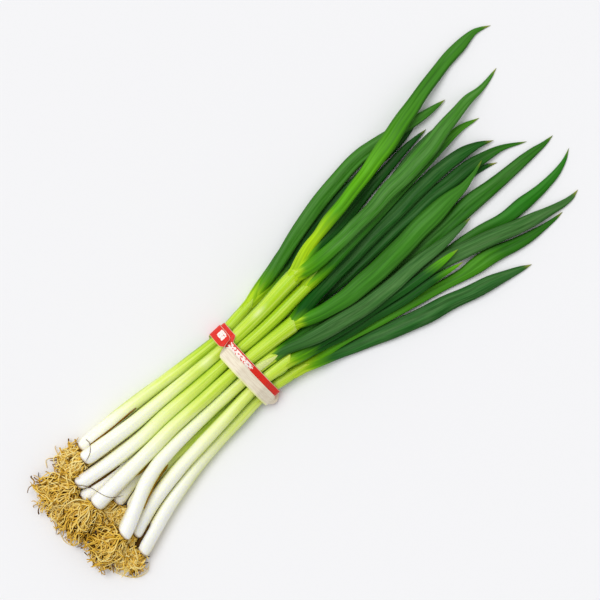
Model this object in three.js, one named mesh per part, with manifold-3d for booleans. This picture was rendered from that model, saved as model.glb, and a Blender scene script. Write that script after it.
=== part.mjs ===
// A bunch of ten spring onions, held by a flat rubber band that goes round it twice, lying on a table.
// Millimetres, +Z up. +X runs from the roots to the leaf tips, and +Y to the left of that, seen from above.
// The origin is on the table, under the middle of the band.

import * as THREE from "three";
import Module from "manifold-3d";

const wasm = await Module();
wasm.setup();

// Clear space between pieces that touch, and the half of it that a shaft and a leaf each keep round them
const GAP = 0.3;
const SHAFT_MARGIN = GAP / 2;
const LEAF_MARGIN = 0.5;

// Shafts: every one is this thick where the band holds it, and swells to its own butt and collar
const HELD_RADIUS = 3.8;
const SHAFT_SIDES = 10;
const SHAFT_RING_SPACING = 17;
const BUTT_ROUNDING = 5;
const BUTT_FACE = 0.72;

// Leaves: half as high as wide away from the neck, and nearly round at it
const LEAF_SIDES = 8;
const LEAF_RING_SPACING = 13;
const LEAF_FLATNESS = 0.43;
const NECK_ROUNDNESS = 0.85;
const NECK_LENGTH = 40;
const LEAST_HALF_HEIGHT = 0.4;
const NECK_DEPTH = 6;
const NECK_BASE = 0.96;
const NECK_END = 0.8;
const APART_AFTER = 30;

// How sharply a shaft and a leaf can bend down, as the change of slope per mm
const SHAFT_DROOP = 0.0024;
const LEAF_DROOP = 0.009;
const SMOOTHING_ROUNDS = 10;

// Stations along X where the heights of the pieces are worked out
const STATION_STEP = 2.5;
const FIRST_STATION = -140;
const LAST_STATION = 270;

// Rubber band
const BAND_THICKNESS = 0.8;
const BAND_FROM = -9;
const BAND_TO = 9;
const BAND_STEPS = 48;
const BAND_TURNS = 2;
// Where the turns lie along X: the inner turn, the outer turn below, and on top before and past the
// place in Y where it crosses the inner turn
const INNER_TURN = [-4, 4.5];
const OUTER_BELOW = [-6, 6];
const OUTER_RIGHT = [-8.5, 0];
const OUTER_LEFT = [-4, 8.5];
const CROSSING = [13, 19];
const TURN_RISE = 4;

// Roots
const ROOTLETS = 14;
const GOLDEN_ANGLE = Math.PI * (3 - Math.sqrt(5));
const ROOT_RADIUS = 0.62;
const ROOT_TIP_RADIUS = 0.36;
const ROOT_STEPS = 4;
const ROOT_CLEARANCE = 0.75;
const CLEARING_ROUNDS = 6;
// A beard's far end lies at this share of its butt's height, and its middle this far along it
const BEARD_SAG = 0.45;
const BEARD_MIDDLE = 0.45;
// Headings: how far the rootlets fan out, wander sideways and fall in each step
const ROOT_SPLAY = 0.75;
const ROOT_WANDER = 0.45;
const ROOT_FALL = 0.2;
// Lengths, as a share of the beard's, and how unevenly high the rootlets lie over the table
const SHORTEST_ROOT = 0.75;
const LONGEST_ROOT = 1.2;
const ROOT_LIFT = 0.8;
// The core of a beard: how far behind the butt, and its radius there as a share of the butt's
const CORE_PROFILE = [[7.5, 0.34], [4, 0.6], [GAP, 0.68]];
const ROOT_STARTS = [1.5, 3.5, 5.5];
const ROOT_START_SPREAD = 0.4;

// The onions, in the order in which they lie on each other, the lowest first.
// shaft: points [x, y] of its axis from the butt to the collar. butt and collar: its radius there.
// leaves: points [x, y, half width]. beard: the middle of the far end of its roots, [x, y].
const ONIONS = [
  {
    butt: 4.8,
    collar: 4.1,
    shaft: [[-118, -18.5], [-100, -14.2], [-80, -12.4], [-60, -12.8], [-30, -12], [0, -11.3], [20, -14.8]],
    leaves: [
      [[20, -14.8, 3.2], [60, -24, 3.8], [100, -31, 4], [140, -36.5, 4], [155, -38.3, 4], [170, -41.5, 4],
        [185, -45, 4.5], [200, -46.5, 4.8], [210, -47.3, 4], [220, -47.5, 3.2], [230, -46.7, 2.5],
        [240, -44, 1.3], [247, -40.5, 0.5]],
    ],
    beard: [-137, -20],
  },
  {
    butt: 5.0,
    collar: 4.2,
    shaft: [[-135, 7.5], [-100, 6], [-60, 7], [-30, 10], [0, 12.5], [20, 9], [45, 3]],
    leaves: [
      [[45, 2.5, 2.6], [100, -7, 3], [150, -9, 3.2], [170, -9.2, 3], [190, -10.2, 2.4], [200, -12.8, 1.5],
        [207, -16, 0.5]],
      [[45, 2.5, 3.2], [60, -1.5, 3.6], [100, -3, 4.4], [150, -2.5, 4.8], [170, -4, 4.8], [185, -5, 4.8],
        [200, -6.8, 4], [215, -10.8, 2.2], [230, -19, 0.5]],
    ],
    beard: [-158, 15],
  },
  {
    butt: 5.2,
    collar: 4.4,
    shaft: [[-114, 31.5], [-80, 30.5], [-60, 28.8], [-40, 26.5], [-10, 23.8], [0, 23.2], [28, 25.5]],
    leaves: [
      [[28, 25.5, 2.6], [45, 30.5, 2.8], [60, 35, 2.8], [80, 39, 2.8], [100, 42, 2.5], [130, 44.5, 0.5]],
      [[28, 25.5, 3], [60, 26.5, 3.6], [90, 33.5, 4], [120, 36.5, 4], [150, 37.3, 4], [170, 38, 3.8],
        [180, 38.8, 2.6], [188, 39.6, 0.5]],
      [[28, 25.5, 3.4], [45, 29, 4], [65, 34, 4.6], [85, 39.5, 5], [105, 43.3, 5.2], [125, 46, 5.2],
        [145, 47, 5], [160, 45.3, 4.6], [180, 41, 3.8], [195, 38.3, 2.6], [210, 36.5, 0.5]],
    ],
    beard: [-132, 32],
  },
  {
    butt: 5.1,
    collar: 4.2,
    shaft: [[-131, -43], [-115, -38.2], [-100, -33.6], [-80, -29.2], [-60, -25.8], [-30, -23.5], [0, -22.2],
      [25, -26.5]],
    leaves: [
      [[25, -26.5, 3.2], [40, -32.5, 3.8], [60, -40, 4.6], [80, -47.5, 5.8], [100, -54, 6.2],
        [110, -57, 6.2], [130, -63, 5.5], [150, -69, 5], [162, -73, 3.5], [170, -75.8, 2.3],
        [178.5, -79, 0.5]],
      [[25, -26.5, 2.8], [50, -31, 2.8], [70, -36, 2.9], [90, -41, 3.1], [120, -48.5, 3.6],
        [140, -53, 4.2], [152, -55, 5.5], [164, -57.5, 5.6], [180, -62.5, 4.4], [190, -65, 3.5],
        [200, -66.6, 2.2], [210, -67.6, 1.1], [216, -67.8, 0.5]],
    ],
    beard: [-150, -45],
  },
  {
    butt: 4.8,
    collar: 4.1,
    shaft: [[-121, -8.4], [-100, -4.4], [-80, -3.2], [-60, -2.6], [0, -2.3], [20, -5.4]],
    leaves: [
      [[20, -5.4, 3.2], [50, -19, 3.8], [80, -27, 4], [110, -33, 4], [125, -35.8, 4.5], [140, -38.8, 5.2],
        [150, -41.8, 5.5], [160, -45, 5.5], [175, -50, 5.5], [190, -55.5, 5], [200, -58.8, 4.5],
        [210, -61.7, 3.3], [220, -64, 2.4], [227, -64.7, 1.5], [233, -64, 0.5]],
    ],
    beard: [-143, -10],
  },
  {
    butt: 4.9,
    collar: 4.1,
    shaft: [[-126, -31.7], [-115, -28.1], [-100, -23.9], [-80, -20.7], [-60, -19], [-30, -16.7], [0, -15.1],
      [20, -17.2]],
    leaves: [
      [[20, -17.2, 2.8], [60, -30, 3], [90, -37, 3], [110, -40.5, 3], [130, -44, 2.4], [147, -47.5, 0.5]],
      [[20, -17.2, 3], [60, -26, 3.2], [100, -33.5, 3.2], [120, -36, 3], [135, -38, 2.5], [150, -39.3, 0.5]],
    ],
    beard: [-147, -35],
  },
  {
    butt: 5.5,
    collar: 3.9,
    shaft: [[-131, -27], [-120, -22.5], [-110, -18], [-100, -13.5], [-90, -10.5], [-80, -8.3], [-60, -6.9],
      [0, -7.1], [16, -8.5]],
    leaves: [
      [[16, -8.5, 3.2], [40, -11, 3.6], [60, -14, 4.2], [100, -20, 5], [130, -22.5, 5.3],
        [150, -23.5, 5.6], [175, -23.5, 6.2], [195, -24.8, 5], [210, -25.7, 4.2], [220, -26.3, 3.7],
        [230, -27, 2.7], [237, -27.6, 1.6], [245, -27.5, 0.5]],
      [[16, -8.5, 3.6], [25, -10.5, 4.2], [40, -16, 5], [60, -21, 5.5], [80, -25, 5.5], [100, -27, 5],
        [120, -28, 4.5], [140, -29, 3.7], [150, -30, 2.7], [160, -30.4, 1.8], [170, -30, 0.5]],
    ],
    beard: [-154, -22],
  },
  {
    butt: 5.4,
    collar: 5.1,
    shaft: [[-131.5, -0.5], [-80, 1], [-60, 1.8], [-30, 1.2], [0, 0.8], [20, -0.5], [41, -2.2]],
    leaves: [
      [[41, -2.2, 3.4], [60, 1, 4], [80, 2, 4.6], [100, 3.5, 4.8], [120, 4.5, 5], [140, 5, 5], [160, 6, 5],
        [180, 5.3, 4.6], [195, 4, 4], [205, 1, 2.4], [215, -4, 0.5]],
      [[41, -2.2, 3.8], [50, -6.4, 4.2], [60, -9.8, 4.9], [75, -12.5, 5.8], [90, -13.8, 6.5],
        [110, -14.2, 6.7], [130, -13.5, 6.7], [150, -12.3, 6.7], [160, -12, 6], [170, -12.2, 4.5],
        [180, -12.5, 2.8], [190, -11, 1.4], [200, -8, 0.5]],
    ],
    beard: [-158, -3],
  },
  {
    butt: 4.6,
    collar: 4.2,
    shaft: [[-131, 16.5], [-100, 12], [-80, 10.4], [-60, 10.5], [-30, 9.4], [0, 8.8], [30, 8.2], [60, 9.3]],
    leaves: [
      [[60, 9.3, 2.6], [100, 15, 3], [140, 20, 3.2], [170, 25, 2.6], [185, 27, 1.6], [194, 27.5, 0.5]],
      [[60, 9.3, 3.6], [85, 9.4, 3.8], [120, 12, 4], [160, 15, 4], [190, 16.5, 3.2], [205, 16.2, 2.2],
        [218, 13, 0.5]],
    ],
    beard: [-156, 33],
  },
  {
    butt: 5.0,
    collar: 5.2,
    shaft: [[-117, 25.5], [-80, 20.9], [-60, 19.8], [-30, 17.8], [0, 16.8], [30, 17.3], [62, 19.6]],
    leaves: [
      [[62, 19.6, 2.8], [80, 20.8, 2.8], [100, 21.8, 3], [120, 24, 3.1], [140, 27, 3.2], [155, 29.8, 3],
        [170, 31, 2.4], [188, 31, 0.5]],
      [[62, 19.6, 3.8], [75, 16.8, 4.4], [95, 15.8, 4.6], [120, 16.7, 4.8], [140, 18, 5.5], [160, 19, 6],
        [180, 21, 6], [200, 24.3, 4.7], [210, 25.4, 4], [220, 26.1, 3.4], [230, 26.1, 2.2],
        [240, 27.3, 1.3], [248, 29, 0.5]],
      [[62, 19.6, 3.6], [80, 26.3, 3.2], [90, 28.3, 3.5], [100, 30, 4.3], [120, 33, 4.3],
        [140, 36.5, 4.8], [160, 40.5, 6], [170, 42.7, 6], [185, 46.2, 5.5], [200, 49.5, 4.8],
        [220, 53.3, 4.4], [240, 55.3, 4], [252, 55.8, 2.2], [258, 54.3, 1.3], [264, 51.5, 0.5]],
    ],
    beard: [-140, 25],
  },
];

const material = (color, roughness) => new THREE.MeshStandardMaterial({ color, roughness, metalness: 0 });
const MATERIALS = {
  shaft: material(0xe9f3b4, 0.35),
  leaves: material(0x2f6b2c, 0.45),
  roots: material(0xc2a15c, 0.85),
  band: material(0xd8301c, 0.55),
};

// Column `k` of a list of [x, value, ...] points at `x`, on a smooth curve through the points
function along(points, x, k = 1) {
  const last = points.length - 1;
  if (x <= points[0][0]) return points[0][k];
  if (x >= points[last][0]) return points[last][k];
  let i = 0;
  while (x > points[i + 1][0]) i += 1;
  const slope = (j) => {
    const before = points[Math.max(j - 1, 0)];
    const after = points[Math.min(j + 1, last)];
    return (after[k] - before[k]) / (after[0] - before[0]);
  };
  const width = points[i + 1][0] - points[i][0];
  const t = (x - points[i][0]) / width;
  const straight = points[i][k] * (1 + 2 * t) * (1 - t) ** 2 + points[i + 1][k] * t * t * (3 - 2 * t);
  return straight + width * t * (1 - t) * (slope(i) * (1 - t) - slope(i + 1) * t);
}

const vector = (x, y, z) => new THREE.Vector3(x, y, z);
const mix = (a, b, t) => a + (b - a) * Math.min(Math.max(t, 0), 1);

// The same random numbers each time, from a seed
function seeded(seed) {
  let state = seed;
  return () => {
    state = (state + 0x6d2b79f5) | 0;
    let t = Math.imul(state ^ (state >>> 15), 1 | state);
    t = (t + Math.imul(t ^ (t >>> 7), 61 | t)) ^ t;
    return ((t ^ (t >>> 14)) >>> 0) / 4294967296;
  };
}

// Strands: a shaft or a leaf, with its middle, half width and half height at any x

function shaftStrand(onion) {
  const [from] = onion.shaft[0];
  const [to] = onion.shaft[onion.shaft.length - 1];
  const radius = (x) => (x < 0
    ? mix(HELD_RADIUS, onion.butt, (x / (from + BUTT_ROUNDING)) ** 2)
    : mix(HELD_RADIUS, onion.collar, x / to));
  return { from, to, margin: SHAFT_MARGIN, y: (x) => along(onion.shaft, x), wide: radius, high: radius };
}

function leafStrand(points) {
  const [from] = points[0];
  const [to] = points[points.length - 1];
  const wide = (x) => along(points, x, 2);
  const high = (x) => {
    const flatness = mix(NECK_ROUNDNESS, LEAF_FLATNESS, (x - from) / NECK_LENGTH);
    return Math.max(wide(x) * flatness, LEAST_HALF_HEIGHT);
  };
  return { from, to, margin: LEAF_MARGIN, y: (x) => along(points, x), wide, high };
}

// Settling: each strand comes down on the table and on the strands that were laid before it

const stations = [];
for (let x = FIRST_STATION; x <= LAST_STATION; x += STATION_STEP) stations.push(x);

function tableHeight(x) {
  const underBand = x > BAND_FROM - STATION_STEP && x < BAND_TO + STATION_STEP;
  return underBand ? BAND_TURNS * BAND_THICKNESS + GAP : 0;
}

// The lowest height of the strand's middle at x that clears the table and the strands in `laid`
function restingHeight(strand, x, laid) {
  let height = tableHeight(x) + strand.high(x);
  for (const other of laid) {
    if (x < other.from || x > other.to) continue;
    const gap = strand.margin + other.margin;
    const across = Math.abs(strand.y(x) - other.y(x)) / (strand.wide(x) + other.wide(x) + gap);
    const rise = strand.high(x) + other.high(x) + gap;
    if (across < 1) height = Math.max(height, other.z(x) + rise * Math.sqrt(1 - across ** 2));
  }
  return height;
}

// Heights over the stations that are nowhere below `needed` and bend down no faster than a shaft does
// up to the collar, and a leaf past it
function drape(needed, collar) {
  let heights = [...needed];
  for (const side of [-1, 1]) {
    needed.forEach((top, from) => {
      let height = top;
      let slope = 0;
      for (let i = from + side; i >= 0 && i < stations.length; i += side) {
        slope += (stations[i] < collar ? SHAFT_DROOP : LEAF_DROOP) * STATION_STEP;
        height -= slope * STATION_STEP;
        heights[i] = Math.max(heights[i], height);
      }
    });
  }
  for (let round = 0; round < SMOOTHING_ROUNDS; round += 1) {
    heights = heights.map((z, i) => {
      const before = heights[Math.max(i - 1, 0)];
      const after = heights[Math.min(i + 1, heights.length - 1)];
      return Math.max(needed[i], (before + 2 * z + after) / 4);
    });
  }
  return heights;
}

function heightCurve(heights) {
  const points = stations.map((x, i) => [x, heights[i]]);
  return (x) => along(points, x);
}

// Gives the onion's shaft and leaves their heights, above the strands in `laid`
function layOnion(shaft, leaves, laid) {
  const shaftNeeds = stations.map((x) => (
    x >= shaft.from && x <= shaft.to ? restingHeight(shaft, x, laid) : -Infinity));
  const withLeaf = (leaf, needs, under) => drape(stations.map((x, i) => {
    if (x <= shaft.to) return needs[i];
    return x <= leaf.to ? restingHeight(leaf, x, under) : -Infinity;
  }), shaft.to);
  const profiles = leaves.map((leaf) => withLeaf(leaf, shaftNeeds, laid));
  const shaftHeights = stations.map((x, i) => Math.max(...profiles.map((profile) => profile[i])));
  shaft.z = heightCurve(shaftHeights);
  const sisters = [];
  for (const leaf of leaves) {
    leaf.z = heightCurve(withLeaf(leaf, shaftHeights, [...laid, ...sisters]));
    sisters.push({ ...leaf, from: leaf.from + APART_AFTER });
  }
  laid.push(shaft, ...leaves);
}

// Solids: closed skins through rings of points, as points and triangles

// A skin through the rings, closed by flat ends, or by joining the last ring to the first in a loop
function loft(rings, loop = false) {
  const sides = rings[0].length;
  const faces = [];
  const spans = loop ? rings.length : rings.length - 1;
  for (let r = 0; r < spans; r += 1) {
    const next = (r + 1) % rings.length;
    for (let s = 0; s < sides; s += 1) {
      const t = (s + 1) % sides;
      faces.push(r * sides + s, r * sides + t, next * sides + t);
      faces.push(r * sides + s, next * sides + t, next * sides + s);
    }
  }
  if (!loop) {
    const end = (rings.length - 1) * sides;
    for (let s = 1; s < sides - 1; s += 1) {
      faces.push(0, s + 1, s);
      faces.push(end, end + s, end + s + 1);
    }
  }
  return { points: new Float32Array(rings.flat(2)), faces: new Uint32Array(faces) };
}

// An upright elliptical ring across X
function ring(x, y, z, wide, high, sides) {
  return Array.from({ length: sides }, (_, s) => {
    const angle = (2 * Math.PI * (s + 0.5)) / sides;
    return [x, y + wide * Math.cos(angle), z + high * Math.sin(angle)];
  });
}

function asManifold({ points, faces }) {
  return new wasm.Manifold(new wasm.Mesh({ numProp: 3, vertProperties: points, triVerts: faces }));
}

// The largest closed skin of a solid: hollows that the joining sealed are filled, and scraps dropped
function outerSkin({ points, faces }) {
  const root = Array.from({ length: points.length / 3 }, (_, i) => i);
  const find = (i) => {
    let top = i;
    while (root[top] !== top) top = root[top];
    root[i] = top;
    return top;
  };
  const corner = (i) => vector(...points.slice(3 * i, 3 * i + 3));
  for (let f = 0; f < faces.length; f += 3) {
    root[find(faces[f])] = find(faces[f + 1]);
    root[find(faces[f + 1])] = find(faces[f + 2]);
  }
  const volumes = new Map();
  for (let f = 0; f < faces.length; f += 3) {
    const [a, b, c] = [corner(faces[f]), corner(faces[f + 1]), corner(faces[f + 2])];
    const skin = find(faces[f]);
    volumes.set(skin, (volumes.get(skin) ?? 0) + a.dot(b.cross(c)));
  }
  const [largest] = [...volumes].reduce((best, entry) => (entry[1] > best[1] ? entry : best));
  const kept = [];
  for (let f = 0; f < faces.length; f += 3) {
    if (find(faces[f]) === largest) kept.push(faces[f], faces[f + 1], faces[f + 2]);
  }
  return { points, faces: new Uint32Array(kept) };
}

function fused(lofts) {
  const [first, ...rest] = lofts.map(asManifold);
  const { vertProperties, triVerts } = rest.reduce((whole, piece) => whole.add(piece), first).getMesh();
  return outerSkin({ points: vertProperties, faces: triVerts });
}

function mesh(name, { points, faces }, look) {
  const geometry = new THREE.BufferGeometry();
  geometry.setAttribute("position", new THREE.BufferAttribute(points, 3));
  geometry.setIndex(new THREE.BufferAttribute(faces, 1));
  geometry.computeVertexNormals();
  const piece = new THREE.Mesh(geometry, look);
  piece.name = name;
  return piece;
}

function evenly(from, to, spacing) {
  const steps = Math.max(1, Math.round((to - from) / spacing));
  return Array.from({ length: steps + 1 }, (_, i) => from + ((to - from) * i) / steps);
}

function shaftSolid(shaft) {
  const rounded = [0, 0.3, 1].map((t) => [shaft.from + t * BUTT_ROUNDING, mix(BUTT_FACE, 1, Math.sqrt(t))]);
  const plain = evenly(shaft.from + BUTT_ROUNDING, shaft.to, SHAFT_RING_SPACING).slice(1);
  const rings = [...rounded, ...plain.map((x) => [x, 1])];
  return loft(rings.map(([x, scale]) => {
    const radius = shaft.wide(x) * scale;
    return ring(x, shaft.y(x), shaft.z(x), radius, radius, SHAFT_SIDES);
  }));
}

// One leaf, from inside the neck to its tip
function leafSolid(leaf) {
  const xs = evenly(leaf.from + GAP, leaf.to, LEAF_RING_SPACING);
  return loft(xs.map((x) => ring(x, leaf.y(x), leaf.z(x), leaf.wide(x), leaf.high(x), LEAF_SIDES)));
}

// The neck that an onion's leaves leave together
function neckSolid(shaft) {
  const start = shaft.to + GAP;
  return loft([[start, NECK_BASE], [start + NECK_DEPTH, NECK_END]].map(([x, scale]) => {
    const radius = shaft.wide(shaft.to) * scale;
    return ring(x, shaft.y(shaft.to), shaft.z(x), radius, radius, SHAFT_SIDES);
  }));
}

// Roots: each rootlet wanders from the core to the far end of the beard, and stays on its own
// side of the middle between two beards, above the table and clear of every shaft

function rootPlace(onion, shaft) {
  const [x, y] = onion.shaft[0];
  const butt = vector(x, y, shaft.z(x));
  const end = vector(...onion.beard, butt.z * BEARD_SAG);
  return { butt, end, middle: butt.clone().lerp(end, BEARD_MIDDLE) };
}

function pushFromShaft(point, shaft) {
  if (point.x < shaft.from - ROOT_CLEARANCE || point.x > shaft.to) return;
  const x = Math.max(point.x, shaft.from);
  const out = vector(0, point.y - shaft.y(x), point.z - shaft.z(x));
  const least = shaft.wide(x) + ROOT_RADIUS + ROOT_CLEARANCE;
  if (out.length() < least) point.addScaledVector(out.clone().normalize(), least - out.length());
}

function keepClear(point, place, places, shafts, floor) {
  for (let round = 0; round < CLEARING_ROUNDS; round += 1) {
    for (const other of places) {
      if (other === place) continue;
      const towards = other.middle.clone().sub(place.middle);
      const half = towards.length() / 2;
      const over = point.clone().sub(place.middle).dot(towards.normalize()) - half + ROOT_CLEARANCE;
      if (over > 0) point.addScaledVector(towards, -over);
    }
    for (const shaft of shafts) pushFromShaft(point, shaft);
    point.z = Math.max(point.z, floor);
  }
  return point;
}

// A three-sided tapering solid along a path of points
function rootletSolid(path) {
  const count = path.length - 1;
  return loft(path.map((point, i) => {
    const ahead = path[Math.min(i + 1, count)].clone().sub(path[Math.max(i - 1, 0)]).normalize();
    const side = vector(0, 0, 1).cross(ahead).normalize();
    const up = ahead.clone().cross(side);
    const radius = mix(ROOT_RADIUS, ROOT_TIP_RADIUS, i / count);
    return [90, 210, 330].map((degrees) => {
      const angle = THREE.MathUtils.degToRad(degrees);
      const corner = point.clone().addScaledVector(side, radius * Math.cos(angle));
      return corner.addScaledVector(up, radius * Math.sin(angle)).toArray();
    });
  }));
}

// The middle of the beard, `back` behind the butt
function beardMiddle(place, back) {
  return place.butt.clone().lerp(place.end, back / (place.butt.x - place.end.x));
}

// The small core that the rootlets stand out of
function rootCore(place, radius) {
  return loft(CORE_PROFILE.map(([back, scale]) => {
    const { x, y, z } = beardMiddle(place, back);
    return ring(x, y, z, radius * scale, radius * scale, SHAFT_SIDES);
  }));
}

// The path of rootlet k. The rootlets fan out evenly from the core, and fall to the table.
function rootletPath(k, place, places, shafts, radius, random) {
  const out = Math.sqrt((k + 0.5) / ROOTLETS);
  const spread = vector(0, out * Math.cos(k * GOLDEN_ANGLE), out * Math.sin(k * GOLDEN_ANGLE));
  const back = ROOT_STARTS[k % ROOT_STARTS.length];
  const start = beardMiddle(place, back).addScaledVector(spread, radius * ROOT_START_SPREAD);
  const axis = place.end.clone().sub(place.butt);
  const length = (axis.length() * mix(SHORTEST_ROOT, LONGEST_ROOT, random())) / ROOT_STEPS;
  const heading = axis.normalize().addScaledVector(spread, ROOT_SPLAY);
  const floor = ROOT_RADIUS + ROOT_LIFT * random();
  const path = [start];
  for (let i = 0; i < ROOT_STEPS; i += 1) {
    heading.normalize().add(vector(0, ROOT_WANDER * (random() - 0.5), -ROOT_FALL * random()));
    const next = path[i].clone().addScaledVector(heading, length);
    path.push(keepClear(next, place, places, shafts, floor));
  }
  return path;
}

function rootsSolid(place, places, shafts, radius, random) {
  const rootlets = Array.from({ length: ROOTLETS }, (_, k) => (
    rootletSolid(rootletPath(k, place, places, shafts, radius, random))));
  return fused([rootCore(place, radius), ...rootlets]);
}

// Rubber band: a belt round all the shafts, two turns thick

// The corners of the smallest convex outline round the points, anticlockwise
function convexOutline(points) {
  const sorted = [...points].sort((p, q) => p[0] - q[0] || p[1] - q[1]);
  const turn = (o, p, q) => (p[0] - o[0]) * (q[1] - o[1]) - (p[1] - o[1]) * (q[0] - o[0]);
  const chain = (list) => {
    const kept = [];
    for (const point of list) {
      while (kept.length > 1 && turn(kept[kept.length - 2], kept[kept.length - 1], point) <= 0) kept.pop();
      kept.push(point);
    }
    return kept.slice(0, -1);
  };
  return [...chain(sorted), ...chain(sorted.reverse())];
}

// The band's inner outline in Y and Z, as points with the direction out of the bunch
function bandOutline(shafts) {
  const around = [];
  for (const shaft of shafts) {
    for (const x of [BAND_FROM, 0, BAND_TO]) {
      const radius = shaft.wide(x) + GAP;
      for (let k = 0; k < BAND_STEPS; k += 1) {
        const angle = (2 * Math.PI * k) / BAND_STEPS;
        around.push([shaft.y(x) + radius * Math.cos(angle), shaft.z(x) + radius * Math.sin(angle)]);
      }
    }
  }
  const bottom = BAND_TURNS * BAND_THICKNESS;
  const corners = convexOutline(around.map(([y, z]) => [y, Math.max(z, bottom)]));
  const outline = new THREE.CurvePath();
  corners.forEach((corner, i) => {
    const next = corners[(i + 1) % corners.length];
    outline.add(new THREE.LineCurve3(vector(0, ...corner), vector(0, ...next)));
  });
  return Array.from({ length: BAND_STEPS }, (_, i) => {
    const point = outline.getPointAt(i / BAND_STEPS);
    const ahead = outline.getTangentAt(i / BAND_STEPS);
    return { y: point.y, z: point.z, outY: ahead.z, outZ: -ahead.y };
  });
}

// The outer turn's edges along X at a place on the outline, where `middle` is half the band's height
function outerEdges(y, z, middle) {
  const crossed = THREE.MathUtils.smoothstep(y, ...CROSSING);
  const onTop = THREE.MathUtils.smoothstep(z, middle, middle + TURN_RISE);
  return OUTER_BELOW.map((below, i) => mix(below, mix(OUTER_RIGHT[i], OUTER_LEFT[i], crossed), onTop));
}

function bandSolid(shafts) {
  const outline = bandOutline(shafts);
  const heights = outline.map((p) => p.z);
  const middle = (Math.min(...heights) + Math.max(...heights)) / 2;
  const turn = (inside, outside, edges) => loft(outline.map((p) => {
    const [from, to] = edges(p.y, p.z, middle);
    const corner = (x, out) => [x, p.y + out * p.outY, p.z + out * p.outZ];
    return [corner(from, inside), corner(to, inside), corner(to, outside), corner(from, outside)];
  }), true);
  return fused([
    turn(0, BAND_THICKNESS, () => INNER_TURN),
    turn(BAND_THICKNESS / 2, BAND_TURNS * BAND_THICKNESS, outerEdges),
  ]);
}

// The bunch

const number = (i) => String(i + 1).padStart(2, "0");
const laid = [];
const plants = ONIONS.map((onion) => {
  const shaft = shaftStrand(onion);
  const leaves = onion.leaves.map(leafStrand);
  layOnion(shaft, leaves, laid);
  return { onion, shaft, leaves, place: rootPlace(onion, shaft) };
});
const shafts = plants.map((plant) => plant.shaft);
const places = plants.map((plant) => plant.place);

const bunch = new THREE.Group();
bunch.name = "spring_onion_bunch";
plants.forEach(({ onion, shaft, leaves, place }, i) => {
  const plant = new THREE.Group();
  const roots = rootsSolid(place, places, shafts, onion.butt, seeded(100 + i));
  const greens = fused([neckSolid(shaft), ...leaves.map(leafSolid)]);
  plant.add(mesh(`shaft_${number(i)}`, shaftSolid(shaft), MATERIALS.shaft));
  plant.add(mesh(`leaves_${number(i)}`, greens, MATERIALS.leaves));
  plant.add(mesh(`roots_${number(i)}`, roots, MATERIALS.roots));
  bunch.add(plant);
});
bunch.add(mesh("rubber_band", bandSolid(shafts), MATERIALS.band));

export default bunch;
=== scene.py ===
# A bunch of ten spring onions, held by a flat rubber band that goes round twice, on a pale table.
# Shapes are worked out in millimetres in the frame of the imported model, and written in metres.
# +X runs from the roots to the leaf tips, and +Y to the left of that, seen from above.

import math

import bpy
import numpy as np
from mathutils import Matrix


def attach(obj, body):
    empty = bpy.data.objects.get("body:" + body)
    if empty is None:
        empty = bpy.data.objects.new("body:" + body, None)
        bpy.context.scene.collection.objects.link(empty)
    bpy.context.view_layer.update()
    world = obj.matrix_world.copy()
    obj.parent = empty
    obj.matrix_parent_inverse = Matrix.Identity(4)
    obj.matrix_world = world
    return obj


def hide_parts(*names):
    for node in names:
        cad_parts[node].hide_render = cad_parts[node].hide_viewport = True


MM = 0.001

# Starts of the random draws
SKIN_SEED = 300
ROOT_SEED = 500
BAND_SEED = 7

# Shafts and leaves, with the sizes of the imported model
GAP = 0.3
SHAFT_MARGIN = GAP / 2
LEAF_MARGIN = 0.5
HELD_RADIUS = 3.8
BUTT_ROUNDING = 5
LEAF_FLATNESS = 0.43
NECK_ROUNDNESS = 0.85
NECK_LENGTH = 40
LEAST_HALF_HEIGHT = 0.4
APART_AFTER = 30
SHAFT_DROOP = 0.0024
LEAF_DROOP = 0.009
SMOOTHING_ROUNDS = 10
STATION_STEP = 2.5
STATIONS = np.arange(-140, 270.1, STATION_STEP)

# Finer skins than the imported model's
SHAFT_SIDES = 44
LEAF_SIDES = 36
RING_SPACING = 1.6
ROOTLET_SIDES = 5
CORE_RINGS = 18
CORE_SIDES = 20

# The shaft's two ends: places before its start and past its end, and their shares of its radius
BUTT_PLACES = np.array([0.6, 0.4])
BUTT_SCALES = [0.06, 0.45]
RIM_PLACES = np.array([0.3, 0.6, 0.8])
RIM_SCALES = [0.99, 0.95, 0.8]
RIM_REACH = 14

# The shaft's skin: how far it stands out all over, the share of its radius that it wavers by, and
# the numbers of faint ridges round it
SKIN_PROUD = 0.15
SHAFT_WAVER = 0.01
RIDGES = (3, 5, 7, 11)

# A leaf: how deep it starts in the shaft, how much thicker its neck is, and its dry tip
NECK_DEPTH = 8
NECK_PROUD = 0.12
TIP_ROUNDING = 5
TIP_LENGTH = 6
CREASES = 3

# Roots of one beard: number of rootlets from the root plate and of tangled ones, steps along each,
# their radii, the lengths of the tangled ones and those of the crinkles, and the height of the
# beard's far end as a share of the shaft's at its butt
ROOTLETS = 95
TANGLED = 140
ROOTLET_STEPS = 18
ROOT_RADII = (0.32, 0.52)
TANGLE_LENGTHS = (7, 15)
CRINKLES = (8, 18)
BEARD_SINKS_TO = 0.42

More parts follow.
